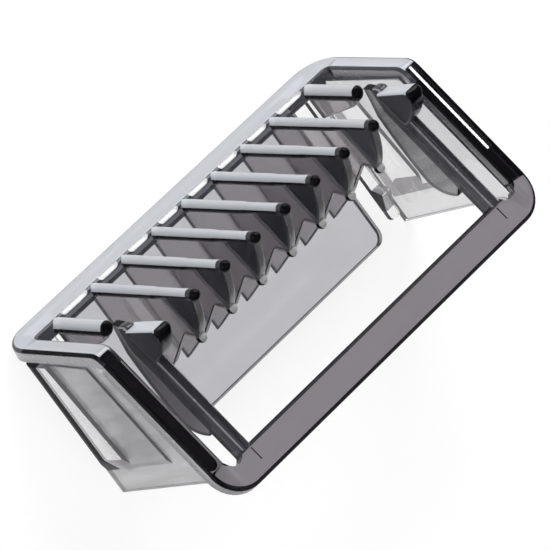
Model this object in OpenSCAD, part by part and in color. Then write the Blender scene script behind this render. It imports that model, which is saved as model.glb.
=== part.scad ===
// Click-on guard comb for a small hair trimmer head.
// A clear smoky moulding: a bent frame with side walls, seven comb ribs,
// a flat back panel and two sprung snap fingers beside the panel.
// Millimetres, +Z up. It rests on its back panel, and the comb side faces -Y.
// Outlines are drawn as (y, z) sections and extruded along X.

/* [Frame] */
// Overall width
frame_w = 40; // [38:0.5:44]
// Height of the bend between the front face and the top face
bend_h = 10.9; // [10.4:0.1:11.6]
// Distance of the bend behind the front lip
bend_run = 3.15; // [2.9:0.05:3.5]
// Slope of the top face
top_slope = 14.5; // [13:0.5:16]
// Length of the top face from the bend to the rear edge
top_len = 15.5; // [15.2:0.1:16.5]
// Thickness of the frame
rim_t = 1.2; // [1:0.05:1.4]
// Width of the front band, and radius of its corners
band_w = 2.85; // [2.6:0.05:3]
// Width of the frame's two sides
side_w = 1.65; // [1.6:0.05:2]
// Width of the rear bar, and radius of its corners
rear_w = 2.8; // [2.5:0.1:3]

/* [Back panel] */
// Width of the panel
panel_w = 29; // [26:0.2:29.4]
// Length of the panel behind the front lip
panel_len = 14.85; // [14:0.05:15]
// Thickness of the panel
panel_t = 1.2; // [1:0.05:1.4]
// Radius of the panel's free corners
panel_r = 1; // [0.5:0.1:2]

/* [Side walls] */
// Inset of a wall's outer face from the frame's side, at the bottom
wall_inset = 1.4; // [1.2:0.1:1.5]
// How far a wall leans outward over its height
wall_lean = 0.6; // [0.4:0.1:0.6]
// Thickness of a wall
wall_t = 1; // [0.9:0.05:1.1]
// Length of a wall behind the front lip
wall_len = 15.05; // [14.5:0.05:15.3]
// Angle of a wall's rear edge
wall_rear = 84.5; // [82:0.5:88]
// Radius between a wall's rear edge and the frame
wall_fillet = 2.8; // [2:0.1:3]
// How far the pad's bulge stands out of a wall
pad_t = 0.7; // [0.5:0.05:0.75]
// Radius of the bulge's lower edge
pad_r = 1.5; // [1:0.1:1.8]
// Height of the bulge at its front end
bulge_front = 3.1; // [2.6:0.1:3.6]
// Height of the bulge at its rear end
bulge_rear = 4.3; // [3.6:0.1:5]
// How far the flat part of the pad above the bulge stands out of a wall
plate_t = 0.25; // [0.2:0.05:0.4]
// Height of the pad at its front end
plate_front = 7.6; // [6.5:0.1:8]
// Height of the pad at its rear end
plate_rear = 9.2; // [8:0.1:9.6]
// Distance from the end of the pad to the end of the wall
pad_back = 2.15; // [1.5:0.05:3]
// Gap between the front band and the pad
pad_gap = 0.9; // [0.6:0.1:1.5]

/* [Comb ribs] */
// Number of full ribs
rib_n = 7; // [7:1:7]
// Distance between ribs
rib_pitch = 3.75; // [3.6:0.05:3.75]
// Diameter of a rib's glide bar
bar_d = 1; // [0.9:0.05:1.1]
// Length of a glide bar's line, measured up the front face from the lip
bar_end = 14.1; // [13.6:0.1:14.2]
// Thickness of a rib's web
web_t = 0.6; // [0.5:0.05:0.7]
// Height of a web's lower edge above the resting face
web_lift = 1.85; // [1.6:0.05:2.2]
// Distance of a web's lower rear corner behind the front lip
web_len = 10.45; // [9:0.05:11]
// Thickness of a rib's nose above the bend
nose_t = 0.9; // [0.8:0.05:0.95]
// Diameter of the bead at a rib's rear tip
bead_d = 0.9; // [0.8:0.05:1]
// Distance of the two end ribs from the middle
end_x = 15.8; // [15.8:0.1:16]
// Width of an end rib's bar
end_bar_d = 1.3; // [1.2:0.05:1.4]
// Length of an end rib's lower bar line, measured as for the glide bars
end_bar_end = 8.2; // [7.6:0.1:8.4]
// Height of an end rib's web above the resting face
end_web_lift = 2.5; // [2.4:0.05:2.6]
// Distance of an end rib's rear edge behind the front lip
end_web_len = 3.8; // [3.5:0.05:4]
// Width of an end post
post_w = 1.6; // [1.4:0.1:1.8]
// Height of an end post's tip above the bend, measured up the front face
post_h = 3.75; // [3.4:0.05:3.75]
// Distance behind the bend at which an end post's foot ends
post_foot = 3.6; // [3:0.1:4]

/* [Guide rails] */
// Inset of a rail's outer face from the frame's side
rail_inset = 3.5; // [3.2:0.05:3.6]
// Width of a rail
rail_w = 1.1; // [1:0.05:1.3]
// Height of a rail's front end, measured down the front face from the bend
rail_front_h = 0.95; // [0.8:0.05:1.2]
// Depth of a rail's underside below the top face
rail_h = 1.7; // [1.6:0.05:2]
// Thickness of the cheek under a rail
cheek_t = 0.8; // [0.7:0.05:1]
// Depth of the cheek's lowest point below the top face
cheek_h = 4.2; // [4:0.05:4.4]

/* [Snap fingers] */
// Distance of a finger from the middle
finger_x = 16.4; // [16.2:0.05:16.5]
// Width of a finger
finger_w = 1.1; // [1:0.05:1.2]
// Thickness of a finger
finger_t = 0.5; // [0.4:0.05:0.8]
// Height of a finger's underside above the resting face
finger_lift = 0.9; // [0.8:0.05:1]
// Length of a finger behind the front lip
finger_len = 14.1; // [13.5:0.05:14.5]
// Height of the hook on a finger
hook_h = 0.8; // [0.5:0.05:1.2]
// Distance from a finger's tip to its hook
hook_back = 1; // [0.8:0.05:1.5]
// Length of the hook
hook_l = 2.1; // [1.6:0.1:3]
// Length of the hook's steep front side
hook_front = 0.7; // [0.4:0.05:0.9]

/* [Hidden] */

$fn = 48;
smoke = [0.42, 0.43, 0.47];
dark_smoke = [0.27, 0.27, 0.3];
pale_smoke = [0.72, 0.72, 0.76];

far = 30;                                     // longer than any part of the comb
arc_steps = 8;                                // straight steps in a drawn arc
front_slope = atan2(bend_h, bend_run);
front_len = norm([bend_run, bend_h]);
depth = bend_run + top_len * cos(top_slope) + rim_t * sin(top_slope);
lip_y = -depth / 2;
bend = [lip_y + bend_run, bend_h];
bar_q = top_len - rear_w;                     // where the rear bar starts on the top face

// Unit vectors in the (y, z) section: up the front face, along the top face, and into each.
front_up = [cos(front_slope), sin(front_slope)];
front_in = [sin(front_slope), -cos(front_slope)];
top_back = [cos(top_slope), sin(top_slope)];
top_in = [sin(top_slope), -cos(top_slope)];

// The section point u up the front face from the lip and d below its surface.
function front(u, d) = [lip_y, 0] + u * front_up + d * front_in;
// The section point q back from the bend and d below the top face.
function top(q, d) = bend + q * top_back + d * top_in;
// Where the two inner faces of the frame meet.
inner_bend = bend + rim_t * (front_in + top_in) / (1 + front_in * top_in);
// The point at height z on the inner side of the front band.
function band_back(z) = [lip_y + rim_t / sin(front_slope) + z / tan(front_slope), z];
// Points of the arc from a to b that bulges by h to the left of the way.
function bow(a, b, h) = let (mid = (a + b) / 2, way = (b - a) / 2, half = norm(way),
        r = (half * half + h * h) / (2 * h), side = [-way[1], way[0]] / half,
        centre = mid - side * (r - h), sweep = asin(half / r))
    [for (i = [0:arc_steps]) let (t = sweep * (1 - 2 * i / arc_steps))
        centre + r * (side * cos(t) - way / half * sin(t))];
// Points of a circle's arc round c.
function arc(c, r, from, to) = [for (i = [0:arc_steps])
    let (t = from + (to - from) * i / arc_steps) c + r * [cos(t), sin(t)]];

// Extrudes a (y, z) section from x0 to x1.
module slab(x0, x1) {
    translate([x0, 0, 0]) rotate([90, 0, 90]) linear_extrude(x1 - x0) children();
}

// Extrudes an (x, z) section along Y, through the whole comb.
module beam() {
    translate([0, far / 2, 0]) rotate([90, 0, 0]) linear_extrude(far) children();
}

// Moves children to the front face: X across, Y up the face, Z out of it.
module on_front() {
    translate([0, lip_y, 0]) rotate([front_slope, 0, 0]) children();
}

// Moves children to the top face: X across, Y back from the bend, Z out of it.
module on_top() {
    translate([0, bend[0], bend[1]]) rotate([top_slope, 0, 0]) children();
}

// Puts a right-hand piece on the side asked for: 1 is right, -1 is left.
module on_side(side) {
    if (side > 0) children();
    else mirror([1, 0, 0]) children();
}

// A strip as deep as its corner radius r, rounded at both corners on y = 0.
module rounded_strip(r) {
    straight = frame_w - 2 * r;
    translate([-straight / 2, 0]) square([straight, r]);
    for (side = [-1, 1])
        intersection() {
            translate([side * straight / 2, r]) circle(r);
            translate([side > 0 ? straight / 2 : -frame_w / 2, 0]) square([r, r]);
        }
}

module front_band() {
    color(pale_smoke)
        intersection() {
            on_front() translate([0, 0, -rim_t]) linear_extrude(rim_t) rounded_strip(band_w);
            translate([-far, -far, 0]) cube(2 * far);
        }
}

module rear_bar() {
    color(smoke)
        on_top() translate([0, top_len, -rim_t]) mirror([0, 1, 0])
            linear_extrude(rim_t) rounded_strip(rear_w);
}

module side_bar(side) {
    color(pale_smoke)
        on_side(side) slab(frame_w / 2 - side_w, frame_w / 2)
            polygon([front(band_w, 0), bend, top(bar_q, 0), top(bar_q, rim_t), inner_bend,
                front(band_w, rim_t)]);
}

module back_panel() {
    end_y = lip_y + panel_len;
    color(pale_smoke)
        intersection() {
            slab(-panel_w / 2, panel_w / 2)
                polygon([band_back(0), [end_y, 0], [end_y, panel_t], band_back(panel_t)]);
            linear_extrude(panel_t) {
                translate([-panel_w / 2, -far]) square([panel_w, far + end_y - panel_r]);
                translate([-panel_w / 2 + panel_r, 0]) square([panel_w - 2 * panel_r, end_y]);
                for (side = [-1, 1])
                    translate([side * (panel_w / 2 - panel_r), end_y - panel_r]) circle(panel_r);
            }
        }
}

// Outer face of a wall at height z.
function wall_x(z) = frame_w / 2 - wall_inset + wall_lean * z / (bend_h + rear_w);
rear_up = [cos(wall_rear), sin(wall_rear)];
rear_out = [sin(wall_rear), -cos(wall_rear)];
wall_end = [lip_y + wall_len, 0];
lean = atan2(wall_lean, bend_h + rear_w);
// Where a wall's rear edge would meet the underside of the top face.
wall_corner = let (under = inner_bend - wall_end,
        t = (under[0] * top_back[1] - under[1] * top_back[0])
            / (rear_up[0] * top_back[1] - rear_up[1] * top_back[0]))
    wall_end + t * rear_up;
fillet_c = wall_corner + wall_fillet * (rear_out + top_in) / (1 + rear_out * top_in);

module side_wall(side) {
    base = wall_x(0);
    head = wall_x(far);
    color(smoke)
        on_side(side) intersection() {
            slab(base - wall_t, head)
                polygon(concat([band_back(0), wall_end],
                    arc(fillet_c, wall_fillet, 90 + wall_rear, 90 + top_slope), [inner_bend]));
            beam() polygon([[base - wall_t, 0], [base, 0], [head, far], [head - wall_t, far]]);
        }
}

// Outline of a pad or its bulge in the wall's plane, cut to length by pad_end.
module pad_outline(low, front_h, rear_h) {
    start = band_back(0) + [pad_gap, 0];
    end = wall_end - [pad_back, 0];
    head = [start + front_h * front_up, end + rear_h * rear_up];
    polygon([start + low * front_up, end + [1, low], head[1] + (head[1] - head[0]) / 10, head[0]]);
}

// The space in front of a pad's sloping rear end.
module pad_end() {
    reach = pad_t + 1;
    translate([0, wall_end[0] - pad_back, 0]) rotate([wall_rear - 90, 0, 0])
        translate([0, 0, -1]) linear_extrude(far)
            polygon([[-1, -far], [-1, 2], [reach, -2 * reach], [reach, -far]]);
}

module wall_pad(side) {
    color(pale_smoke)
        on_side(side) translate([wall_x(0), 0, 0]) rotate([0, lean, 0]) intersection() {
            pad_end();
            union() {
                slab(0, plate_t) pad_outline(1, plate_front, plate_rear);
                intersection() {
                    slab(0, pad_t) pad_outline(0, bulge_front, bulge_rear);
                    beam() union() {
                        translate([pad_t - pad_r, pad_r]) circle(pad_r);
                        polygon([[0, pad_r], [pad_t, pad_r], [pad_t - 0.15, 6], [0, 6]]);
                    }
                }
            }
        }
}

rail_x = frame_w / 2 - rail_inset - rail_w;
rail_foot = front(front_len - rail_front_h, 0);

module guide_rail(side) {
    color(dark_smoke)
        on_side(side) slab(rail_x, rail_x + rail_w)
            polygon([bend, rail_foot, top(1.5, rail_h), top(bar_q, rail_h), top(bar_q, 0)]);
}

module cheek(side) {
    low = top(8, cheek_h);
    tip = top(10.4, 2.4);
    color(pale_smoke)
        on_side(side) slab(rail_x, rail_x + cheek_t)
            polygon(concat([top(1.5, rail_h), rail_foot, front(front_len - rail_front_h - 0.8, 0)],
                bow(top(1.4, 2.8), low, -0.15), bow(low, tip, -0.4), [top(10, rail_h)]));
}

// A round bar along the front face, flush with it, from u0 up to u1 at distance x.
module glide_bar(x, u0, u1, d) {
    on_front() translate([x, u0, -d / 2]) {
        rotate([-90, 0, 0]) cylinder(h = u1 - u0, d = d);
        translate([0, u1 - u0, 0]) sphere(d = d);
    }
}

// Rear outline of a rib's nose, from the top of its glide bar down to the bead.
bead = top(4.5, 1.3);
nose = bow(front(bar_end, bar_d / 2), bead, 0.35);

module comb_rib(i) {
    x = (i - (rib_n + 1) / 2) * rib_pitch;
    color(dark_smoke) {
        glide_bar(x, band_w, bar_end, bar_d);
        slab(x - web_t / 2, x + web_t / 2)
            polygon(concat([front(band_w, bar_d / 2)], nose,
                [top(3.4, 2.4), top(4.4, 6.3), [lip_y + web_len, web_lift],
                band_back(web_lift), front(band_w, rim_t)]));
        slab(x - nose_t / 2, x + nose_t / 2)
            polygon(concat([front(front_len - 1, bar_d / 2)], nose));
        translate([x, bead[0], bead[1]]) sphere(d = bead_d);
    }
}

module end_rib(side) {
    rear_y = lip_y + end_web_len;
    color(dark_smoke)
        on_side(side) {
            glide_bar(end_x, band_w, end_bar_end, end_bar_d);
            slab(end_x - nose_t / 2, end_x + nose_t / 2)
                polygon([front(band_w, end_bar_d / 2), front(end_bar_end, end_bar_d / 2),
                    [rear_y, front(end_bar_end, 0)[1] - 1], [rear_y, end_web_lift],
                    band_back(end_web_lift), front(band_w, rim_t)]);
        }
}

module end_post(side) {
    tip = front_len + post_h;
    color(dark_smoke)
        on_side(side) slab(end_x - post_w / 2, end_x + post_w / 2)
            polygon(concat([bend, front(tip - 0.4, 0)], bow(front(tip, 0.4), top(post_foot, 0), 0.35)));
}

module snap_finger(side) {
    tip_y = lip_y + finger_len;
    low = finger_lift;
    high = finger_lift + finger_t;
    round_y = tip_y - finger_w / 2;
    hook_y = tip_y - hook_back - hook_l;
    color(pale_smoke)
        on_side(side) {
            slab(finger_x - finger_w / 2, finger_x + finger_w / 2)
                polygon([band_back(low), [round_y, low], [round_y, high], [hook_y + hook_l, high],
                    [hook_y + hook_front, high + hook_h], [hook_y, high], band_back(high)]);
            translate([finger_x, round_y, low]) cylinder(h = finger_t, d = finger_w);
        }
}

front_band();
rear_bar();
side_bar(-1);  // left_side_bar
side_bar(1);  // right_side_bar
back_panel();
side_wall(-1);  // left_side_wall
side_wall(1);  // right_side_wall
wall_pad(-1);  // left_wall_pad
wall_pad(1);  // right_wall_pad
guide_rail(-1);  // left_guide_rail
guide_rail(1);  // right_guide_rail
cheek(-1);  // left_cheek
cheek(1);  // right_cheek
comb_rib(1);  // comb_rib_1
comb_rib(2);  // comb_rib_2
comb_rib(3);  // comb_rib_3
comb_rib(4);  // comb_rib_4
comb_rib(5);  // comb_rib_5
comb_rib(6);  // comb_rib_6
comb_rib(7);  // comb_rib_7
end_rib(-1);  // left_end_rib
end_rib(1);  // right_end_rib
end_post(-1);  // left_end_post
end_post(1);  // right_end_post
snap_finger(-1);  // left_snap_finger
snap_finger(1);  // right_snap_finger
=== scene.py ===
"""Looks of the clear smoky guard comb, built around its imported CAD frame.

The comb is one clear moulding. Each CAD node's solid is built again here with rounded edges, the solids
of the rigid body are joined, and the joined skin is parted into one closed piece per node. The faces where
two pieces meet let light through unbent, so light bends only where the real moulding has a surface.
Lengths are in millimetres until a mesh is made; SCALE turns them into metres.
"""

import math

import bmesh
import bpy
from mathutils import Matrix, Vector


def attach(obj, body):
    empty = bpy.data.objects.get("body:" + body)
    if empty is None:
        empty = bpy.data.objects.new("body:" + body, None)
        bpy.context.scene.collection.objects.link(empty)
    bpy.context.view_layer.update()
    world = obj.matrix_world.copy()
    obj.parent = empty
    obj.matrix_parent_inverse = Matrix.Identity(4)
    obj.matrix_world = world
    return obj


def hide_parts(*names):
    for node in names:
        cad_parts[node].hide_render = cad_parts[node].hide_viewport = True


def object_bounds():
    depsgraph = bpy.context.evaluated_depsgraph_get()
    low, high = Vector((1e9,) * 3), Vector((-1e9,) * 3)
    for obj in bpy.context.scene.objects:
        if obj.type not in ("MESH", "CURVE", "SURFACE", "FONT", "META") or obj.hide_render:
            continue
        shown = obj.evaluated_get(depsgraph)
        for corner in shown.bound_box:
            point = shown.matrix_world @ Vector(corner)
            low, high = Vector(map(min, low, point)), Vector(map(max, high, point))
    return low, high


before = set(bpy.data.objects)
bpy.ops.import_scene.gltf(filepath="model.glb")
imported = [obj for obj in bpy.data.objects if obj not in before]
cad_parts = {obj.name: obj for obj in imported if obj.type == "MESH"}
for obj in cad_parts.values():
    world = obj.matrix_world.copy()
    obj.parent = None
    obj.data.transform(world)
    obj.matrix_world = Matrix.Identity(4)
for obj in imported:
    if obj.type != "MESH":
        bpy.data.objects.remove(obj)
cad_low, cad_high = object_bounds()

SCALE = 0.001

# The CAD's driving sizes, in millimetres and degrees.
HALF_W = cad_high.x / SCALE
LIP = cad_low.y / SCALE
BEND_H = 10.9
BEND_RUN = 3.15
SLOPE_DEGREES = 14.5
TOP_LEN = 15.5
RIM_T = 1.2
BAND_W = 2.85
SIDE_W = 1.65
REAR_W = 2.8
PANEL_T = 1.2
RAIL_H = 1.7
BAR_END = 14.1
WALL_LEAN = math.atan2(0.6, 13.7)
WALL_X = HALF_W - 1.4
RAIL_X = HALF_W - 4.6
END_X = 15.8
RIB_PITCH = 3.75
RIB_XS = [(i - 3) * RIB_PITCH for i in range(7)]

# How far a solid reaches into its neighbour, so that the two join, and the depth at which a cutter of the
# top face starts.
TUCK = 0.3
ABOVE = -0.1

SLOPE = math.radians(SLOPE_DEGREES)
FRONT = math.atan2(BEND_H, BEND_RUN)
FRONT_LEN = math.hypot(BEND_RUN, BEND_H)
BEND = Vector((LIP + BEND_RUN, BEND_H))
BAR_Q = TOP_LEN - REAR_W
FRONT_UP = Vector((math.cos(FRONT), math.sin(FRONT)))
FRONT_IN = Vector((math.sin(FRONT), -math.cos(FRONT)))
TOP_BACK = Vector((math.cos(SLOPE), math.sin(SLOPE)))
TOP_IN = Vector((math.sin(SLOPE), -math.cos(SLOPE)))

# Kinds of surface. Most are painted light and shade rather than the plastic's own smoke: lit and shaded
# copies of one plastic, painted shade on edges, creases, recesses and undersides, and painted highlights.
FINISHES_AND_PAINTED_LIGHT = ("band", "panel", "clear", "bar", "web", "wall", "shade", "pad", "side", "mid",
            "rear", "dark", "black", "gloss", "bright")
JOINT = len(FINISHES_AND_PAINTED_LIGHT)
SIDES = (("left", -1), ("right", 1))


# ---------------------------------------------------------------- section points, (y, z)

def front(u, d):
    """The point u up the front face from the lip and d below its surface."""
    return Vector((LIP, 0)) + u * FRONT_UP + d * FRONT_IN


def top(q, d):
    """The point q back from the bend and d below the top face."""
    return BEND + q * TOP_BACK + d * TOP_IN


INNER_BEND = BEND + RIM_T * (FRONT_IN + TOP_IN) / (1 + FRONT_IN.dot(TOP_IN))


def band_back(z, gap=0.0):
    """The point at height z on the inner side of the front band."""
    return Vector((LIP + RIM_T / math.sin(FRONT) + z / math.tan(FRONT) + gap, z))


def up_front(p, u):
    """How far a solid's point p lies up the front face beyond u."""
    return (Vector((p.y, p.z)) - front(u, 0)).dot(FRONT_UP)


def to_front(n):
    """How much a normal points out of the front face, 1 at most."""
    return -Vector((n.y, n.z)).dot(FRONT_IN)


def bow(a, b, h):
    """Points of the arc from a to b that bulges by h to the left of the way."""
    steps = 10
    mid, way = (a + b) / 2, (b - a) / 2
    half = way.length
    r = (half * half + h * h) / (2 * h)
    side = Vector((-way.y, way.x)) / half
    centre = mid - side * (r - h)
    sweep = math.asin(half / r)
    out = []
    for i in range(steps + 1):
        t = sweep * (1 - 2 * i / steps)
        out.append(centre + r * (side * math.cos(t) - way / half * math.sin(t)))
    return out


def arc(centre, r, start, end, steps=8):
    """Points of a circle's arc, with its angles in degrees."""
    out = []
    for i in range(steps + 1):
        t = math.radians(start + (end - start) * i / steps)
        out.append(Vector(centre) + r * Vector((math.cos(t), math.sin(t))))
    return out


# ---------------------------------------------------------------- solids

def loft(a, b):
    """A solid between two loops of (x, y, z) points, one point of b for each of a."""
    bm = bmesh.new()
    a = [bm.verts.new(p) for p in a]
    b = [bm.verts.new(p) for p in b]
    bm.faces.new(a)
    bm.faces.new(b[::-1])
    for i in range(len(a)):
        j = (i + 1) % len(a)
        bm.faces.new((a[j], a[i], b[i], b[j]))
    bmesh.ops.recalc_face_normals(bm, faces=bm.faces)
    return bm


def prism(points, x0, x1):
    """A (y, z) outline extruded from x0 to x1."""
    return loft([(x0, y, z) for y, z in points], [(x1, y, z) for y, z in points])


def plan_prism(points, z0, z1):
    """An (x, y) outline extruded from z0 to z1."""
    return loft([(x, y, z0) for x, y in points], [(x, y, z1) for x, y in points])


def top_prism(points, p0, p1):
    """An (x, q) outline on the top face extruded from depth p0 to depth p1."""
    return loft([(x, *top(q, p0)) for x, q in points], [(x, *top(q, p1)) for x, q in points])


def rounded(bm, size, segments, choose=None):
    """Bevels the sharp edges, or those of them whose middle choose(middle) picks."""
    bm.normal_update()
    sharp = math.radians(28)
    edges = []
    for e in bm.edges:
        if len(e.link_faces) == 2 and e.calc_face_angle(0) > sharp:
            middle = (e.verts[0].co + e.verts[1].co) / 2
            if choose is None or choose(middle):
                edges.append(e)
    bmesh.ops.bevel(bm, geom=edges, offset=size, segments=segments, profile=0.5,
                    affect="EDGES", clamp_overlap=True)
    return bm


def paint(bm, finish, test=None):
    """Gives the faces that test(middle, normal) picks a finish."""
    bm.normal_update()
    for f in bm.faces:
        if test is None or test(f.calc_center_median(), f.normal):
            f.material_index = FINISHES_AND_PAINTED_LIGHT.index(finish)
    return bm


def on_edge(middle, normal):
    """Picks the narrow faces of an upright slab, those that don't look sideways."""
    return abs(normal.x) < 0.95


def on_side(bm, side):
    """The solid as it is for the right side, mirrored for the left."""
    if side < 0:
        bmesh.ops.scale(bm, vec=(-1, 1, 1), verts=bm.verts)
        bmesh.ops.reverse_faces(bm, faces=bm.faces)
    return bm


def bisected(bm, point, normal, clear=False):
    """Cuts a solid's faces along a plane, perhaps drops what is beyond it, and gives the new edges."""
    everything = bm.verts[:] + bm.edges[:] + bm.faces[:]
    cut = bmesh.ops.bisect_plane(bm, geom=everything, plane_co=point, plane_no=normal, clear_outer=clear)
    return [g for g in cut["geom_cut"] if isinstance(g, bmesh.types.BMEdge)]


def capsule(x, end, r, flat=1.0, neck=None):
    """A round bar from the band up the front face, flush with it, with a domed end and perhaps a neck."""
    around, dome = 28, 7
    bm = bmesh.new()
    rings = [(BAND_W - TUCK, r)]
    if neck:
        rings += [(neck - 0.12, r), (neck - 0.06, r * 0.97), (neck + 0.12, r * 0.92),
                  (neck + 0.4, r * 0.91), (end - 1.2, r * 0.93)]
    rings.append((end - 0.5, r))
    for i in range(dome):
        t = math.pi / 2 * i / dome
        rings.append((end + flat * r * math.sin(t), r * math.cos(t)))
    loops = []
    for u, rr in rings:
        loop = []
        for k in range(around):
            a = 2 * math.pi * k / around
            p = front(u, r - rr * math.cos(a))
            loop.append(bm.verts.new((x + rr * math.sin(a), p.x, p.y)))
        loops.append(loop)
    for a, b in zip(loops, loops[1:]):
        for k in range(around):
            j = (k + 1) % around
            bm.faces.new((a[k], a[j], b[j], b[k]))
    tip = front(end + flat * r, r)
    apex = bm.verts.new((x, tip.x, tip.y))
    for k in range(around):
        bm.faces.new((loops[-1][k], loops[-1][(k + 1) % around], apex))
    bm.faces.new(loops[0][::-1])
    bmesh.ops.recalc_face_normals(bm, faces=bm.faces)
    return bm


def ball(centre, r):
    """The bead at the end of a rib's nose."""
    bm = bmesh.new()
    bmesh.ops.create_uvsphere(bm, u_segments=20, v_segments=12, radius=r)
    bmesh.ops.translate(bm, vec=centre, verts=bm.verts)
    return bm


# ---------------------------------------------------------------- joining

def mesh_of(bm, name):
    """A mesh with the solid's faces; the solid itself is used up."""
    me = bpy.data.meshes.new(name)
    bm.to_mesh(me)
    bm.free()
    return me


def combine(base, others, operation="UNION"):
    """Joins meshes to base, or cuts them out of it, and keeps each one's own material."""
    home = bpy.context.scene.collection
    ob = bpy.data.objects.new("work", base)
    home.objects.link(ob)
    group = bpy.data.collections.new("work")
    tools = []
    for me in others:
        tool = bpy.data.objects.new("tool", me)
        group.objects.link(tool)
        tools.append(tool)
    mod = ob.modifiers.new("join", "BOOLEAN")
    mod.operation, mod.solver = operation, "MANIFOLD"
    mod.operand_type, mod.collection = "COLLECTION", group
    mod.material_mode = "TRANSFER"
    graph = bpy.context.evaluated_depsgraph_get()
    out = bpy.data.meshes.new_from_object(ob.evaluated_get(graph))
    for tool in tools:
        bpy.data.objects.remove(tool)
    bpy.data.objects.remove(ob)
    bpy.data.collections.remove(group)
    return out


def common(bm, shape):
    """The part of a solid that lies inside another one."""
    out = bmesh.new()
    out.from_mesh(combine(mesh_of(bm, "solid"), [mesh_of(shape, "shape")], "INTERSECT"))
    return out


def marker(node, finish):
    """A material that only tells which node and finish a face belongs to."""
    key = node + ":" + finish
    return bpy.data.materials.get(key) or bpy.data.materials.new(key)


def marked(bm, node):
    """A mesh whose materials are markers that tell each face's node and finish."""
    mesh = mesh_of(bm, node)
    for finish in FINISHES_AND_PAINTED_LIGHT:
        mesh.materials.append(marker(node, finish))
    return mesh


# ---------------------------------------------------------------- the frame

# Half the length of the rounded bend, and where the painted dark shade on a side bar's top past the bend
# ends.
FOLD = 0.7
BEND_SHADE = 1.6


def rim_point(x, w, depth):
    """The point at distance w over the bent surface from the lip."""
    s = w - FRONT_LEN
    if abs(s) < FOLD + 1e-6:
        t = (s + FOLD) / (2 * FOLD)
        c = BEND + depth * (FRONT_IN + TOP_IN) / (1 + FRONT_IN.dot(TOP_IN))
        a, b = c - FOLD * FRONT_UP, c + FOLD * TOP_BACK
        p = (1 - t) ** 2 * a + 2 * t * (1 - t) * c + t * t * b
    elif s < 0:
        p = front(max(w, depth / math.tan(FRONT)), depth)
    else:
        p = top(s, depth)
    return (x, p.x, p.y)


def rim_stations():
    """Places around the frame, each (node, w, (outer edge, inner edge)).

    Each edge is a function that gives the edge's (x, w) when it is set back by an inset.
    """
    inner_x, inner_r = HALF_W - SIDE_W, 0.45
    end, rear = FRONT_LEN + TOP_LEN, FRONT_LEN + BAR_Q

    def straight(w):
        return (lambda i: (HALF_W - i, w)), (lambda i: (inner_x + i, w))

    def corner(sign, way, degrees):
        r, edge, inner_w = (REAR_W, end, rear) if way > 0 else (BAND_W, 0, BAND_W)
        c, s = math.cos(math.radians(degrees)), math.sin(math.radians(degrees)) * way
        return ((lambda i: (sign * (HALF_W - r + (r - i) * c), edge - way * r + (r - i) * s)),
                (lambda i: (sign * (inner_x - inner_r + (inner_r + i) * c),
                            inner_w - way * inner_r + (inner_r + i) * s)))

    def other(edge):
        return lambda i: (-edge(i)[0], edge(i)[1])

    past_bend = [-FOLD, -FOLD / 2, 0, FOLD / 2, FOLD, BEND_SHADE, 6, BAR_Q - 0.2]
    bar = [BAND_W, 6.5, 9.5] + [FRONT_LEN + q for q in past_bend]
    right = [("right_side_bar", w, straight(w)) for w in bar]
    right += [("rear_bar", end, corner(1, 1, 9 * k)) for k in range(11)]
    left = [(node.replace("right", "left"), w, (other(outer), other(inner)))
            for node, w, (outer, inner) in right[::-1]]
    band = [("front_band", 0, corner(-1, -1, 9 * k)) for k in range(11)]
    band += [("front_band", 0, corner(1, -1, 9 * k)) for k in range(10, -1, -1)]
    return right + left + band


def rim_section(edges, tight, wide):
    """Points of the frame's section at one station, (x, w, depth), from the inner side over the top."""
    outer, inner = edges
    under = 0.12
    out = []
    for k in range(4):
        a = math.radians(90 - 30 * k)
        out.append((*inner(tight * (1 - math.sin(a))), tight * (1 - math.cos(a))))
    for k in range(5):
        a = math.radians(22.5 * k)
        out.append((*outer(wide * (1 - math.sin(a))), wide * (1 - math.cos(a))))
    out += [(*outer(0), RIM_T - under), (*outer(under), RIM_T)]
    out += [(*inner(under), RIM_T), (*inner(0), RIM_T - under)]
    return out


def rim_painted_light(node, w):
    """The finishes of the frame's section near w, in the order of rim_section's points. They paint light
    and
    shade: a lit copy of the plastic on the front face, shaded copies on the rear bar and the sides, and
    painted shade on the roundings and on the side bars past the bend.
    """
    past_bend = w - FRONT_LEN
    face, round_top, inner = "band", "black", "side"
    if node == "rear_bar":
        face = "rear"
    elif node == "front_band":
        round_top, inner = "dark", "dark"
    # Past the bend a side bar's top gets painted shade: a half shade on the right, black on the left.
    elif past_bend >= BEND_SHADE:
        face = "mid" if node == "right_side_bar" else "black"
    elif past_bend > FOLD / 2:
        face = "dark"
    round_in = "black" if face in ("black", "rear") else "dark"
    return [round_in] * 3 + [face] + [round_top] * 4 + ["side", "dark", face, "dark", inner]


def rim():
    """The whole bent frame as one closed ring of quads, with a marker per node and finish."""
    bm = bmesh.new()
    stations = rim_stations()
    rings = []
    for node, w, edges in stations:
        sizes = (0.3, 0.3) if node == "rear_bar" else (0.22, 0.25)
        rings.append([bm.verts.new(rim_point(*p)) for p in rim_section(edges, *sizes)])
    marks = {}
    for i, (node, w, _) in enumerate(stations):
        a, b = rings[i], rings[(i + 1) % len(rings)]
        following, w_next, _ = stations[(i + 1) % len(stations)]
        if not node.endswith("side_bar"):
            node = following
        for j, finish in enumerate(rim_painted_light(node, (w + w_next) / 2)):
            k = (j + 1) % len(a)
            quad = bm.faces.new((a[j], b[j], b[k], a[k]))
            quad.material_index = marks.setdefault((node, finish), len(marks))
    bmesh.ops.recalc_face_normals(bm, faces=bm.faces)
    mesh = mesh_of(bm, "rim")
    for node, finish in marks:
        mesh.materials.append(marker(node, finish))
    return mesh


def cutter(bm, side, node, finish):
    """A solid to cut out of the frame, marked with the finish that the cut gets."""
    mesh = mesh_of(on_side(bm, side), "cut")
    mesh.materials.append(marker(node, finish))
    return mesh


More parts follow.
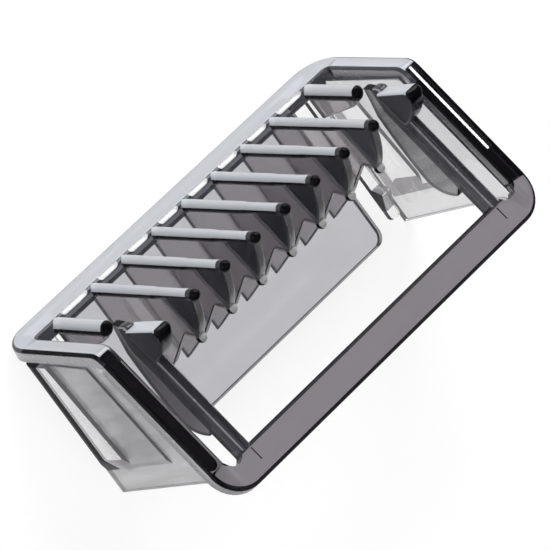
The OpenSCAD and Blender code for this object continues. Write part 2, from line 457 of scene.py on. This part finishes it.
def scoop(x0, x1):
    """A round-ended bar that hollows the band's inner edge between two ribs and gives the hollow a painted
    highlight.
    """
    r = 0.57
    bm = bmesh.new()
    bmesh.ops.create_uvsphere(bm, u_segments=24, v_segments=16, radius=r)
    bmesh.ops.rotate(bm, matrix=Matrix.Rotation(math.pi / 2, 3, "Y"), verts=bm.verts)
    for v in bm.verts:
        if abs(v.co.x) <= 1e-6:
            v.co.x = (x0 + x1) / 2
        else:
            v.co.x += x0 + r if v.co.x < 0 else x1 - r
    middle = front(BAND_W + 0.14, -0.2)
    bmesh.ops.translate(bm, vec=(0, *middle), verts=bm.verts)
    return cutter(bm, 1, "front_band", "bright")


def recess(side, node):
    """A shallow round-ended recess along a side bar's top, painted black as shade, and a tilted facet in
    its floor, painted black with a gloss.
    """
    x0, x1 = HALF_W - (1.28 if side > 0 else 1.36), HALF_W - 0.1
    start, end = 0.3, BAR_Q - 0.26
    r = (x1 - x0) / 2
    outline = arc(((x0 + x1) / 2, end - r), r, 0, 180, 14) + [(x0, start), (x1, start)]
    slot = cutter(top_prism(outline, ABOVE, 0.06), side, node, "black")
    inner, outer = HALF_W - 0.98, HALF_W - 0.37
    section = [(inner, ABOVE), (inner, 0.065), (outer, 0.26), (outer, ABOVE)]
    facet = loft(*([(x, *top(q, p)) for x, p in section] for q in (0.4, 9.3)))
    return [slot, cutter(facet, side, node, "gloss")]


def rectangle(x0, x1, q0, q1):
    """An (x, q) outline for top_prism."""
    return [(x0, q0), (x1, q0), (x1, q1), (x0, q1)]


def rim_cutters():
    """The scoops between the ribs, the rounded rear ends of the pockets, and fine creases."""
    to_rib = 0.62
    lines = [-END_X] + RIB_XS + [END_X]
    out = [scoop(a + to_rib, b - to_rib) for a, b in zip(lines, lines[1:])]
    for word, side in SIDES:
        bar = word + "_side_bar"
        # The rounded end that a pocket cuts into the rear bar, with painted shade on the cut.
        x0, x1 = HALF_W - 3.48, HALF_W - SIDE_W - 0.02
        start, end = BAR_Q - 0.6, BAR_Q + 0.68
        r = (x1 - x0) / 2
        pocket = [(x1, start)] + arc(((x0 + x1) / 2, end - r), r, 0, 180, 14) + [(x0, start)]
        out.append(cutter(top_prism(pocket, -1, 3), side, "rear_bar", "dark"))
        # A short scored line on the rear bar, beside its corner, painted black as shade.
        crease = rectangle(15.65, 15.76, 13.07, 14.28)
        out.append(cutter(top_prism(crease, ABOVE, 0.07), side, "rear_bar", "black"))
        # A crease across the side bar, just behind the bend, with painted shade in it.
        crease = rectangle(HALF_W - SIDE_W - 0.1, HALF_W + 0.1, 1.57, 1.63)
        out.append(cutter(top_prism(crease, ABOVE, 0.04), side, bar, "dark"))
        out += recess(side, bar)
    return out


# ---------------------------------------------------------------- node solids

def back_panel():
    """The flat plate on the table behind the front band, with rounded rear corners and painted black shade
    on its edges.
    """
    hw, end, r = 14.5, LIP + 14.85, 1.0
    front_edge = band_back(PANEL_T).x - 0.25
    outline = [(-hw, front_edge), (hw, front_edge)]
    outline += arc((hw - r, end - r), r, 0, 90) + arc((r - hw, end - r), r, 90, 180)
    bm = rounded(plan_prism(outline, 0, PANEL_T), 0.22, 3, lambda m: m.y > front_edge + 0.05)
    return [paint(paint(bm, "panel"), "black", lambda m, n: abs(n.z) < 0.95)]


def wall_profile():
    """A wall's rear foot, the way up from it and the fillet that leads into the top, in (y, z)."""
    lean = 84.5
    up = Vector((math.cos(math.radians(lean)), math.sin(math.radians(lean))))
    out = Vector((up.y, -up.x))
    foot = Vector((LIP + 15.05, 0))
    under = INNER_BEND - foot
    t = (under.x * TOP_BACK.y - under.y * TOP_BACK.x) / (up.x * TOP_BACK.y - up.y * TOP_BACK.x)
    corner = foot + t * up
    r = 2.8
    centre = corner + r * (out + TOP_IN) / (1 + out.dot(TOP_IN))
    return foot, up, arc(centre, r, 90 + lean, 90 + SLOPE_DEGREES, 10)


def wall_frame(bm, side):
    """Moves a solid built about a wall's outer face, leaning outward, to its side."""
    turn = Matrix.Rotation(WALL_LEAN, 4, "Y")
    bmesh.ops.transform(bm, matrix=Matrix.Translation((WALL_X, 0, 0)) @ turn, verts=bm.verts)
    return on_side(bm, side)


def side_wall(side):
    """A leaning wall that ends within the frame's rounded rear corner."""
    foot, _, fillet = wall_profile()
    low, thick, eaves = 0.03, 1.0, 12.2
    inner = band_back(low)
    outline = [inner - Vector((TUCK, 0)), Vector((foot.x, low))] + fillet
    outline += [fillet[-1] - TUCK * TOP_IN, INNER_BEND - TUCK * TOP_IN - TUCK * FRONT_IN]
    bm = rounded(prism(outline, -thick, 0), 0.25, 3, lambda m: m.y > inner.x + 0.3 and m.z < eaves)
    # The right wall is a shaded copy of the left wall's plastic, and the narrow faces get painted shade.
    paint(bm, "wall" if side < 0 else "shade")
    paint(bm, "dark", on_edge)
    # The outline of the frame's rear corner in (x, q), a little inside its edge.
    r = REAR_W - 0.3
    centre = (HALF_W - REAR_W, TOP_LEN - REAR_W)
    plan = [(10, -40), (30, -40), (30, centre[1])] + arc(centre, r, 0, 90, 10) + [(10, centre[1] + r)]
    return [on_side(common(wall_frame(bm, 1), top_prism(plan, -3, 30)), side)]


def pad_slab(low, front_h, rear_h, thick):
    """One layer of a pad on a wall's outer face, with its rear end cut to a slope."""
    foot, up, _ = wall_profile()
    foot = foot - Vector((2.15, 0))
    start = band_back(0, 0.9)
    a, b = start + front_h * FRONT_UP, foot + rear_h * up
    outline = [start + low * FRONT_UP, foot + Vector((1, low)), b + (b - a) / 10, a]
    bm = prism(outline, -0.25, thick)
    edges = bisected(bm, (0, *foot), Vector((2, up.y, -up.x)).normalized(), clear=True)
    bmesh.ops.holes_fill(bm, edges=edges)
    bmesh.ops.recalc_face_normals(bm, faces=bm.faces)
    return bm


def wall_pad(side):
    """The raised grip on a wall: a rounded bulge below, a thin plate above."""
    plate_t, bulge_t, r = 0.25, 0.7, 1.5
    plate = rounded(pad_slab(1, 7.6, 9.2, plate_t), 0.09, 2, lambda m: m.x > 0)
    bulge = rounded(pad_slab(0, 3.1, 4.3, bulge_t), 0.09, 2, lambda m: m.x > 0 and m.z > 0.5)
    # The bulge's section in (x, z): a rounded underside below an upright face.
    profile = [(-0.3, 6), (-0.3, 0.25)] + arc((bulge_t - r, r), r, -60, 0, 10) + [(0.52, 6)]
    bulge = common(bulge, loft([(x, -20, z) for x, z in profile], [(x, 20, z) for x, z in profile]))
    # Heights where the painted shade under the right bulge turns from black to grey, and from grey to
    # highlight.
    painted_black_to, painted_grey_to = 1.95, 2.3
    for z in (painted_black_to, painted_grey_to):
        bisected(bulge, (0, 0, z), (0, 0, 1))
    # The right plate is a shaded copy of the left one; the right bulge gets a painted highlight with bands
    # of painted shade along its underside. Edges and rear ends get painted shade.
    paint(plate, "wall" if side < 0 else "pad")
    paint(plate, "mid", lambda m, n: n.x < 0.9)
    paint(bulge, "clear" if side < 0 else "bright")
    paint(bulge, "mid", lambda m, n: n.x < 0.9)
    if side > 0:
        paint(bulge, "side", lambda m, n: m.z < painted_grey_to)
        paint(bulge, "black", lambda m, n: m.z < painted_black_to)
    for part in (plate, bulge):
        paint(part, "dark", lambda m, n: n.y > 0.5)
    return [wall_frame(plate, side), wall_frame(bulge, side)]


def guide_rail(side):
    """The rail under the top that runs back from the bend beside a side bar."""
    rear = BAR_Q + 0.4
    outline = [BEND, front(FRONT_LEN - 0.95, 0), top(1.5, RAIL_H), top(rear, RAIL_H), top(rear, 0)]
    bm = rounded(prism(outline, RAIL_X, HALF_W - 3.5), 0.3, 4, lambda m: m.y < top(BAR_Q + 0.3, 0).x)
    # The rail is painted shade all over, a little lighter on its slanted faces.
    paint(bm, "dark")
    paint(bm, "side", lambda m, n: 0.3 < abs(n.x) < 0.8)
    return [on_side(bm, side)]


def cheek(side):
    """The web that hangs under a guide rail, with a curved lower edge that rises to a tip."""
    low, tip, root = top(8, 4.2), top(10.4, 2.4), RAIL_H - 0.2
    outline = [top(1.5, root), front(FRONT_LEN - 0.9, 0.1), front(FRONT_LEN - 1.75, 0)]
    outline += bow(top(1.4, 2.8), low, -0.15) + bow(low, tip, -0.4)[1:] + [top(9.9, root)]
    bm = prism(outline, RAIL_X + 0.05, HALF_W - 3.8)
    bm = rounded(bm, 0.18, 3, lambda m: (Vector((m.y, m.z)) - BEND).dot(TOP_IN) > RAIL_H)
    # A shaded copy of the plastic, darker on the right cheek than on the left, with painted black shade on
    # the narrow faces.
    paint(bm, "mid" if side > 0 else "pad")
    paint(bm, "black", on_edge)
    return [on_side(bm, side)]


def behind_band(m):
    """Tells the edges of a rib's web that are free from those inside the front band."""
    return m.y > front(BAND_W, RIM_T).x + 0.2


def comb_rib(x):
    """A rib: a round bar on the front, a thin web behind it, and a nose that bends over to a bead."""
    r, web_t, tip_t, corner_z = 0.5, 0.6, 0.9, 1.85
    end = top(4.5, 1.3)
    nose = bow(front(BAR_END, r), end, 0.35)
    outline = [front(BAND_W - TUCK, r)] + nose + [top(3.4, 2.4), top(4.4, 6.3)]
    outline += [Vector((LIP + 10.45, corner_z)), band_back(corner_z, -TUCK)]
    outline.append(front(BAND_W - TUCK, RIM_T - TUCK))
    web = rounded(prism(outline, x - web_t / 2, x + web_t / 2), 0.09, 2, behind_band)
    paint(web, "web")
    # The web's narrow faces get a painted half shade and its rounded edges painted black shade.
    paint(web, "mid", lambda m, n: abs(n.x) < 0.3)
    paint(web, "black", lambda m, n: 0.3 <= abs(n.x) < 0.97)
    # The bar is a lit copy of the plastic where it faces the front, with painted black shade on its sides
    # and painted shade that turns black at its domed end.
    bar = paint(capsule(x, BAR_END, r, neck=9.7), "bar")
    paint(bar, "black", lambda m, n: to_front(n) < 0.3)
    paint(bar, "dark", lambda m, n: up_front(m, BAR_END - 0.3) > 0)
    paint(bar, "black", lambda m, n: up_front(m, BAR_END - 0.05) > 0)
    tip = rounded(prism([front(FRONT_LEN - 1, r)] + nose, x - tip_t / 2, x + tip_t / 2), 0.2, 3)
    # The nose gets painted shade on its sides and a lighter painted half shade down its middle.
    paint(tip, "dark", lambda m, n: abs(n.x) > 0.2)
    paint(tip, "pad", lambda m, n: abs(n.x) <= 0.3)
    # The bead gets a painted highlight on top and painted black shade underneath.
    bead = paint(ball((x, *end), 0.45), "bright")
    paint(bead, "black", lambda m, n: n.z < 0.45)
    return [bar, web, tip, bead]


def end_rib(side):
    """The short rib beside a finger, with a post above it."""
    r, end, web_t, corner_z = 0.65, 8.2, 0.9, 2.5
    rear = LIP + 3.8
    outline = [front(BAND_W - TUCK, r), front(end, r), Vector((rear, front(end, 0).y - 1)),
               Vector((rear, corner_z)), band_back(corner_z, -TUCK), front(BAND_W - TUCK, RIM_T - TUCK)]
    web = rounded(prism(outline, END_X - web_t / 2, END_X + web_t / 2), 0.12, 2, behind_band)
    # The bar is a lit copy where it faces the front, with painted black shade on its sides and end.
    bar = paint(capsule(END_X, end, r, flat=0.7), "bar")
    paint(bar, "black", lambda m, n: to_front(n) < 0.3)
    paint(bar, "black", lambda m, n: up_front(m, end) > 0.12)
    return [on_side(part, side) for part in (bar, paint(web, "web"))]


def end_post(side):
    """The stout post over an end rib, from the bend up over the corner of the top."""
    half, tip, rear = 0.8, FRONT_LEN + 3.75, 3.6
    outline = [front(FRONT_LEN - 0.3, 0.3), front(tip - 0.4, 0)]
    outline += bow(front(tip, 0.4), top(rear, 0), 0.35) + [top(rear, 0.3)]
    # The post is painted shade, a lit copy on its front and painted black shade at its top end.
    bm = paint(rounded(prism(outline, END_X - half, END_X + half), 0.35, 5), "dark")
    paint(bm, "bar", lambda m, n: to_front(n) > 0.5)
    paint(bm, "black", lambda m, n: m.z > front(tip - 0.5, 0).y)
    return [on_side(bm, side)]


def snap_finger(side):
    """A finger is a body of its own, so it stands a hair clear of the front band."""
    x, width, low, thick, clear = 16.4, 1.1, 0.9, 0.5, 0.02
    high, tip = low + thick, LIP + 14.1
    hook = tip - 1.0 - 2.1
    outline = [band_back(low, clear), Vector((tip, low)), Vector((tip, high)), Vector((hook + 2.1, high)),
               Vector((hook + 0.7, high + 0.8)), Vector((hook, high)), band_back(high, clear)]
    bar = rounded(prism(outline, x - width / 2, x + width / 2), 0.07, 2)
    r = width / 2
    plan = [(x + r, LIP)] + arc((x, tip - r), r, 0, 180, 16) + [(x - r, LIP)]
    bm = common(bar, plan_prism(plan, 0, 4))
    paint(bm, "clear")
    # Painted shade on the finger's sides and a painted half shade on the hook's slope.
    paint(bm, "dark", lambda m, n: abs(n.x) > 0.6)
    paint(bm, "mid", lambda m, n: m.z > high and 0.2 < n.z < 0.95 and abs(n.x) < 0.5)
    return on_side(bm, side)


# ---------------------------------------------------------------- parting the joined skin

def node_pieces(skin):
    """The faces of each node in the joined skin, as one bmesh per node."""
    marks = [m.name.split(":") for m in skin.materials]
    names = sorted({name for name, _ in marks})
    whole = bmesh.new()
    whole.from_mesh(skin)
    node = whole.faces.layers.int.new("node")
    for f in whole.faces:
        name, finish = marks[f.material_index]
        f[node] = names.index(name)
        f.material_index = FINISHES_AND_PAINTED_LIGHT.index(finish)
    out = {}
    for i, name in enumerate(names):
        bm = whole.copy()
        layer = bm.faces.layers.int["node"]
        bmesh.ops.delete(bm, geom=[f for f in bm.faces if f[layer] != i], context="FACES")
        out[name] = bm
    whole.free()
    return out


def close(bm):
    """Closes a piece where it meets its neighbours, with JOINT faces, and counts the edges still open."""
    bmesh.ops.remove_doubles(bm, verts=bm.verts, dist=1e-5)
    before = set(bm.faces)
    edges = [e for e in bm.edges if e.is_boundary]
    bmesh.ops.holes_fill(bm, edges=edges, sides=0)
    caps = [f for f in bm.faces if f not in before]
    cut = bmesh.ops.triangulate(bm, faces=caps)["faces"] if caps else []
    for f in cut:
        f.material_index = JOINT
    bmesh.ops.recalc_face_normals(bm, faces=bm.faces)
    bmesh.ops.delete(bm, geom=[e for e in bm.edges if not e.link_faces], context="EDGES")
    return sum(1 for e in bm.edges if not e.is_manifold)


# ---------------------------------------------------------------- materials

def node_tree(name):
    """A new material, its empty nodes and its links."""
    mat = bpy.data.materials.new(name)
    mat.use_nodes = True
    mat.node_tree.nodes.clear()
    return mat, mat.node_tree.nodes, mat.node_tree.links


# Per finish: tint, share of light let through, roughness and, where it isn't the usual one, the index of
# refraction. A low index keeps a dark edge from mirroring the table. The last value adds streaks.
# Most tints are painted light and shade: band, bar and wall are lit copies of the plastic, rear, side,
# shade, pad and mid shaded copies, dark and black painted shade, gloss painted black with a gloss, and
# bright a painted highlight.
SMOKE_AND_PAINTED_LIGHT = {
    "band": ((0.65, 0.675, 0.72), 0.50, 0.30),
    "panel": ((0.70, 0.70, 0.73), 0.90, 0.10),
    "clear": ((0.97, 0.97, 0.97), 1.00, 0.03),
    "bar": ((0.76, 0.79, 0.84), 0.50, 0.22),
    "web": ((0.47, 0.44, 0.46), 0.92, 0.06),
    "wall": ((0.84, 0.84, 0.85), 0.85, 0.08),
    "shade": ((0.56, 0.56, 0.57), 0.72, 0.16, 1.52, 0.45),
    "pad": ((0.45, 0.45, 0.46), 0.65, 0.20, 1.52, 0.45),
    "side": ((0.40, 0.39, 0.41), 0.50, 0.25),
    "mid": ((0.34, 0.32, 0.345), 0.60, 0.22),
    "rear": ((0.33, 0.30, 0.335), 0.50, 0.30),
    "dark": ((0.07, 0.07, 0.085), 0.70, 0.12, 1.30),
    "black": ((0.008, 0.007, 0.009), 0.60, 0.08, 1.14),
    "gloss": ((0.008, 0.007, 0.009), 0.60, 0.06),
    "bright": ((0.98, 0.98, 1.00), 0.50, 0.25),
}


def noise(nodes, links, place, scale, detail=2):
    """The value of a noise texture at a place."""
    texture = nodes.new("ShaderNodeTexNoise")
    texture.inputs["Scale"].default_value = scale
    texture.inputs["Detail"].default_value = detail
    links.new(place, texture.inputs["Vector"])
    return texture.outputs["Fac"]


def blend(nodes, links, factor, a, b):
    """A colour that goes from a to b with the factor; a and b are colours or a node's output."""
    mix = nodes.new("ShaderNodeMix")
    mix.data_type = "RGBA"
    links.new(factor, mix.inputs["Factor"])
    for key, colour in (("A", a), ("B", b)):
        if isinstance(colour, tuple):
            mix.inputs[key].default_value = (*colour, 1)
        else:
            links.new(colour, mix.inputs[key])
    return mix.outputs["Result"]


def smoke_and_painted_light(name, tint, clear, rough, ior=1.52, streaks=0.0):
    """Clear moulded plastic in the given tint, which for most finishes is painted light and shade: a faint
    cloudiness in its tint, flow waves and fine wear in its surface.
    """
    mat, nodes, links = node_tree(name)
    place = nodes.new("ShaderNodeTexCoord").outputs["Object"]
    stretch = nodes.new("ShaderNodeMapping")
    stretch.inputs["Scale"].default_value = (1, 1, 0.1) if streaks else (1, 1, 1)
    links.new(place, stretch.inputs["Vector"])
    cloud = noise(nodes, links, stretch.outputs["Vector"], 900 if streaks else 260, 3)
    thin = tuple(c * (0.96 - streaks) for c in tint)
    dense = tuple(min(c * (1.03 + streaks), 1) for c in tint)
    wear = nodes.new("ShaderNodeMapRange")
    wear.inputs["From Min"].default_value = 0.45
    wear.inputs["From Max"].default_value = 0.75
    wear.inputs["To Min"].default_value = rough
    wear.inputs["To Max"].default_value = rough + 0.05
    links.new(noise(nodes, links, place, 900, 5), wear.inputs["Value"])
    waves = nodes.new("ShaderNodeBump")
    waves.inputs["Strength"].default_value = 0.02
    waves.inputs["Distance"].default_value = 0.0005
    links.new(noise(nodes, links, place, 420, 1), waves.inputs["Height"])
    body = nodes.new("ShaderNodeBsdfPrincipled")
    body.inputs["Transmission Weight"].default_value = clear
    body.inputs["IOR"].default_value = ior
    links.new(blend(nodes, links, cloud, thin, dense), body.inputs["Base Color"])
    links.new(wear.outputs["Result"], body.inputs["Roughness"])
    links.new(waves.outputs["Normal"], body.inputs["Normal"])
    out = nodes.new("ShaderNodeOutputMaterial")
    links.new(body.outputs[0], out.inputs["Surface"])
    return mat


def inner_face():
    """The faces inside the moulding, where two pieces meet: no surface for light."""
    mat, nodes, links = node_tree("joint_inside")
    through = nodes.new("ShaderNodeBsdfTransparent")
    out = nodes.new("ShaderNodeOutputMaterial")
    links.new(through.outputs[0], out.inputs["Surface"])
    return mat


def table_top():
    """A pale table with a painted pool of light: it glows softly around the part, and less beyond it."""
    mat, nodes, links = node_tree("pale_table")
    place = nodes.new("ShaderNodeTexCoord").outputs["Object"]
    apart = nodes.new("ShaderNodeVectorMath")
    apart.operation = "ABSOLUTE"
    links.new(place, apart.inputs[0])
    axes = nodes.new("ShaderNodeSeparateXYZ")
    links.new(apart.outputs["Vector"], axes.inputs[0])
    far = nodes.new("ShaderNodeMath")
    far.operation = "SMOOTH_MAX"
    far.inputs[2].default_value = 0.01
    links.new(axes.outputs["X"], far.inputs[0])
    links.new(axes.outputs["Y"], far.inputs[1])
    fall = nodes.new("ShaderNodeMapRange")
    fall.interpolation_type = "SMOOTHSTEP"
    fall.inputs["From Min"].default_value = 0.030
    fall.inputs["From Max"].default_value = 0.140
    links.new(far.outputs["Value"], fall.inputs["Value"])
    near = blend(nodes, links, noise(nodes, links, place, 30), (0.93,) * 3, (0.95,) * 3)
    colour = blend(nodes, links, fall.outputs["Result"], near, (0.50,) * 3)
    body = nodes.new("ShaderNodeBsdfPrincipled")
    body.inputs["Roughness"].default_value = 0.9
    body.inputs["Specular IOR Level"].default_value = 0.0
    soft = nodes.new("ShaderNodeVectorMath")
    soft.operation = "SCALE"
    soft.inputs["Scale"].default_value = 0.22
    links.new(colour, soft.inputs[0])
    links.new(soft.outputs["Vector"], body.inputs["Base Color"])
    links.new(colour, body.inputs["Emission Color"])
    body.inputs["Emission Strength"].default_value = 0.92
    out = nodes.new("ShaderNodeOutputMaterial")
    links.new(body.outputs[0], out.inputs["Surface"])
    return mat


# ---------------------------------------------------------------- scene

def look(location, right, up, back):
    """A camera's matrix from its place and its own three axes."""
    m = Matrix((right, up, back)).transposed().to_4x4()
    m.translation = location
    return m


def make_camera():
    """A long lens along the photograph's line of sight, given by the picture's axes in the part's frame."""
    right = Vector((-0.6091, 0.5784, 0.5423)).normalized()
    back = Vector((0.5396, -0.1985, 0.8178)).normalized()
    up = back.cross(right).normalized()
    right = up.cross(back)
    cam = bpy.data.cameras.new("camera")
    cam.lens, cam.sensor_width = 394.8, 36.0
    ob = bpy.data.objects.new("camera", cam)
    bpy.context.scene.collection.objects.link(ob)
    where = (right * 3.744 + up * 1.355 + back * 473.5) * SCALE
    ob.matrix_world = look(where, right, up, back)
    bpy.context.scene.camera = ob


def area_light(name, at, aim_z, size, power, color=(1, 1, 1), lights_all=True):
    """A soft box aimed at the height aim_z over the part's middle, perhaps for mirrored light only."""
    lamp = bpy.data.lights.new(name, "AREA")
    lamp.shape = "RECTANGLE"
    lamp.size, lamp.size_y = size
    lamp.energy, lamp.color = power, color
    ob = bpy.data.objects.new(name, lamp)
    bpy.context.scene.collection.objects.link(ob)
    ob.visible_diffuse = ob.visible_transmission = lights_all
    ob.location = at
    ob.rotation_mode = "QUATERNION"
    ob.rotation_quaternion = (Vector((0, 0, aim_z)) - Vector(at)).to_track_quat("-Z", "Y")


def make_floor(mat):
    """The table, a hair below the part, with its pale square turned to the picture's edges."""
    bm = bmesh.new()
    bmesh.ops.create_grid(bm, x_segments=2, y_segments=2, size=0.6)
    me = mesh_of(bm, "floor")
    me.materials.append(mat)
    ob = bpy.data.objects.new("floor", me)
    bpy.context.scene.collection.objects.link(ob)
    ob.location = (-0.0046, 0.0016, -0.00002)
    ob.rotation_euler.z = math.radians(136)


def make_world():
    """Faint white light from all around."""
    world = bpy.data.worlds.new("studio")
    world.use_nodes = True
    sky = world.node_tree.nodes["Background"]
    sky.inputs["Color"].default_value = (1, 1, 1, 1)
    sky.inputs["Strength"].default_value = 0.03
    bpy.context.scene.world = world


def add_piece(name, node, body, bm, mats):
    """Makes a solid into a smoothly shaded object that rides a body and stands in for a CAD node."""
    bmesh.ops.scale(bm, vec=(SCALE,) * 3, verts=bm.verts)
    me = mesh_of(bm, name)
    for m in mats:
        me.materials.append(m)
    me.set_sharp_from_angle(angle=math.radians(32))
    for p in me.polygons:
        p.use_smooth = p.material_index != JOINT
    ob = bpy.data.objects.new(name, me)
    bpy.context.scene.collection.objects.link(ob)
    even = ob.modifiers.new("normals", "WEIGHTED_NORMAL")
    even.keep_sharp = True
    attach(ob, body)
    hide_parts(node)


def frame_solids():
    """Every solid of the rigid body but the frame itself, by node."""
    out = {"back_panel": back_panel()}
    for word, side in SIDES:
        out[word + "_side_wall"] = side_wall(side)
        out[word + "_wall_pad"] = wall_pad(side)
        out[word + "_guide_rail"] = guide_rail(side)
        out[word + "_cheek"] = cheek(side)
        out[word + "_end_rib"] = end_rib(side)
        out[word + "_end_post"] = end_post(side)
    for i, x in enumerate(RIB_XS, 1):
        out["comb_rib_%d" % i] = comb_rib(x)
    return out


def build():
    """Joins the rigid body's solids, parts their skin by node, and adds the two fingers."""
    mats = [smoke_and_painted_light("smoky_plastic_" + name, *SMOKE_AND_PAINTED_LIGHT[name]) for name in FINISHES_AND_PAINTED_LIGHT] + [inner_face()]
    base = combine(rim(), rim_cutters(), "DIFFERENCE")
    solids = [marked(bm, name) for name, parts in frame_solids().items() for bm in parts]
    skin = combine(base, solids)
    for name, bm in node_pieces(skin).items():
        loose = close(bm)
        if loose:
            print("piece", name, "has", loose, "open edges")
        add_piece("clear_" + name, name, "frame", bm, mats)
    for word, side in SIDES:
        node = word + "_snap_finger"
        add_piece("clear_" + node, node, word + "_finger", snap_finger(side), mats)


make_camera()
bpy.context.scene.view_settings.view_transform = "Standard"
make_world()
make_floor(table_top())
area_light("window", (-0.30, -0.38, 0.27), aim_z=0, size=(0.3, 0.3), power=2.6)
area_light("overhead", (0.05, 0.12, 0.5), aim_z=0, size=(0.2, 0.2), power=0.5)
area_light("left_strip", (-0.5, -0.075, 0.14), aim_z=0.01, size=(0.09, 0.09), power=0.5, lights_all=False)
area_light("right", (0.45, -0.12, 0.14), aim_z=0.005, size=(0.4, 0.35), power=1.5)
area_light("front", (-0.12, -0.5, 0.14), aim_z=0.005, size=(0.3, 0.16), power=0.7, color=(0.93, 0.97, 1.0))
build()
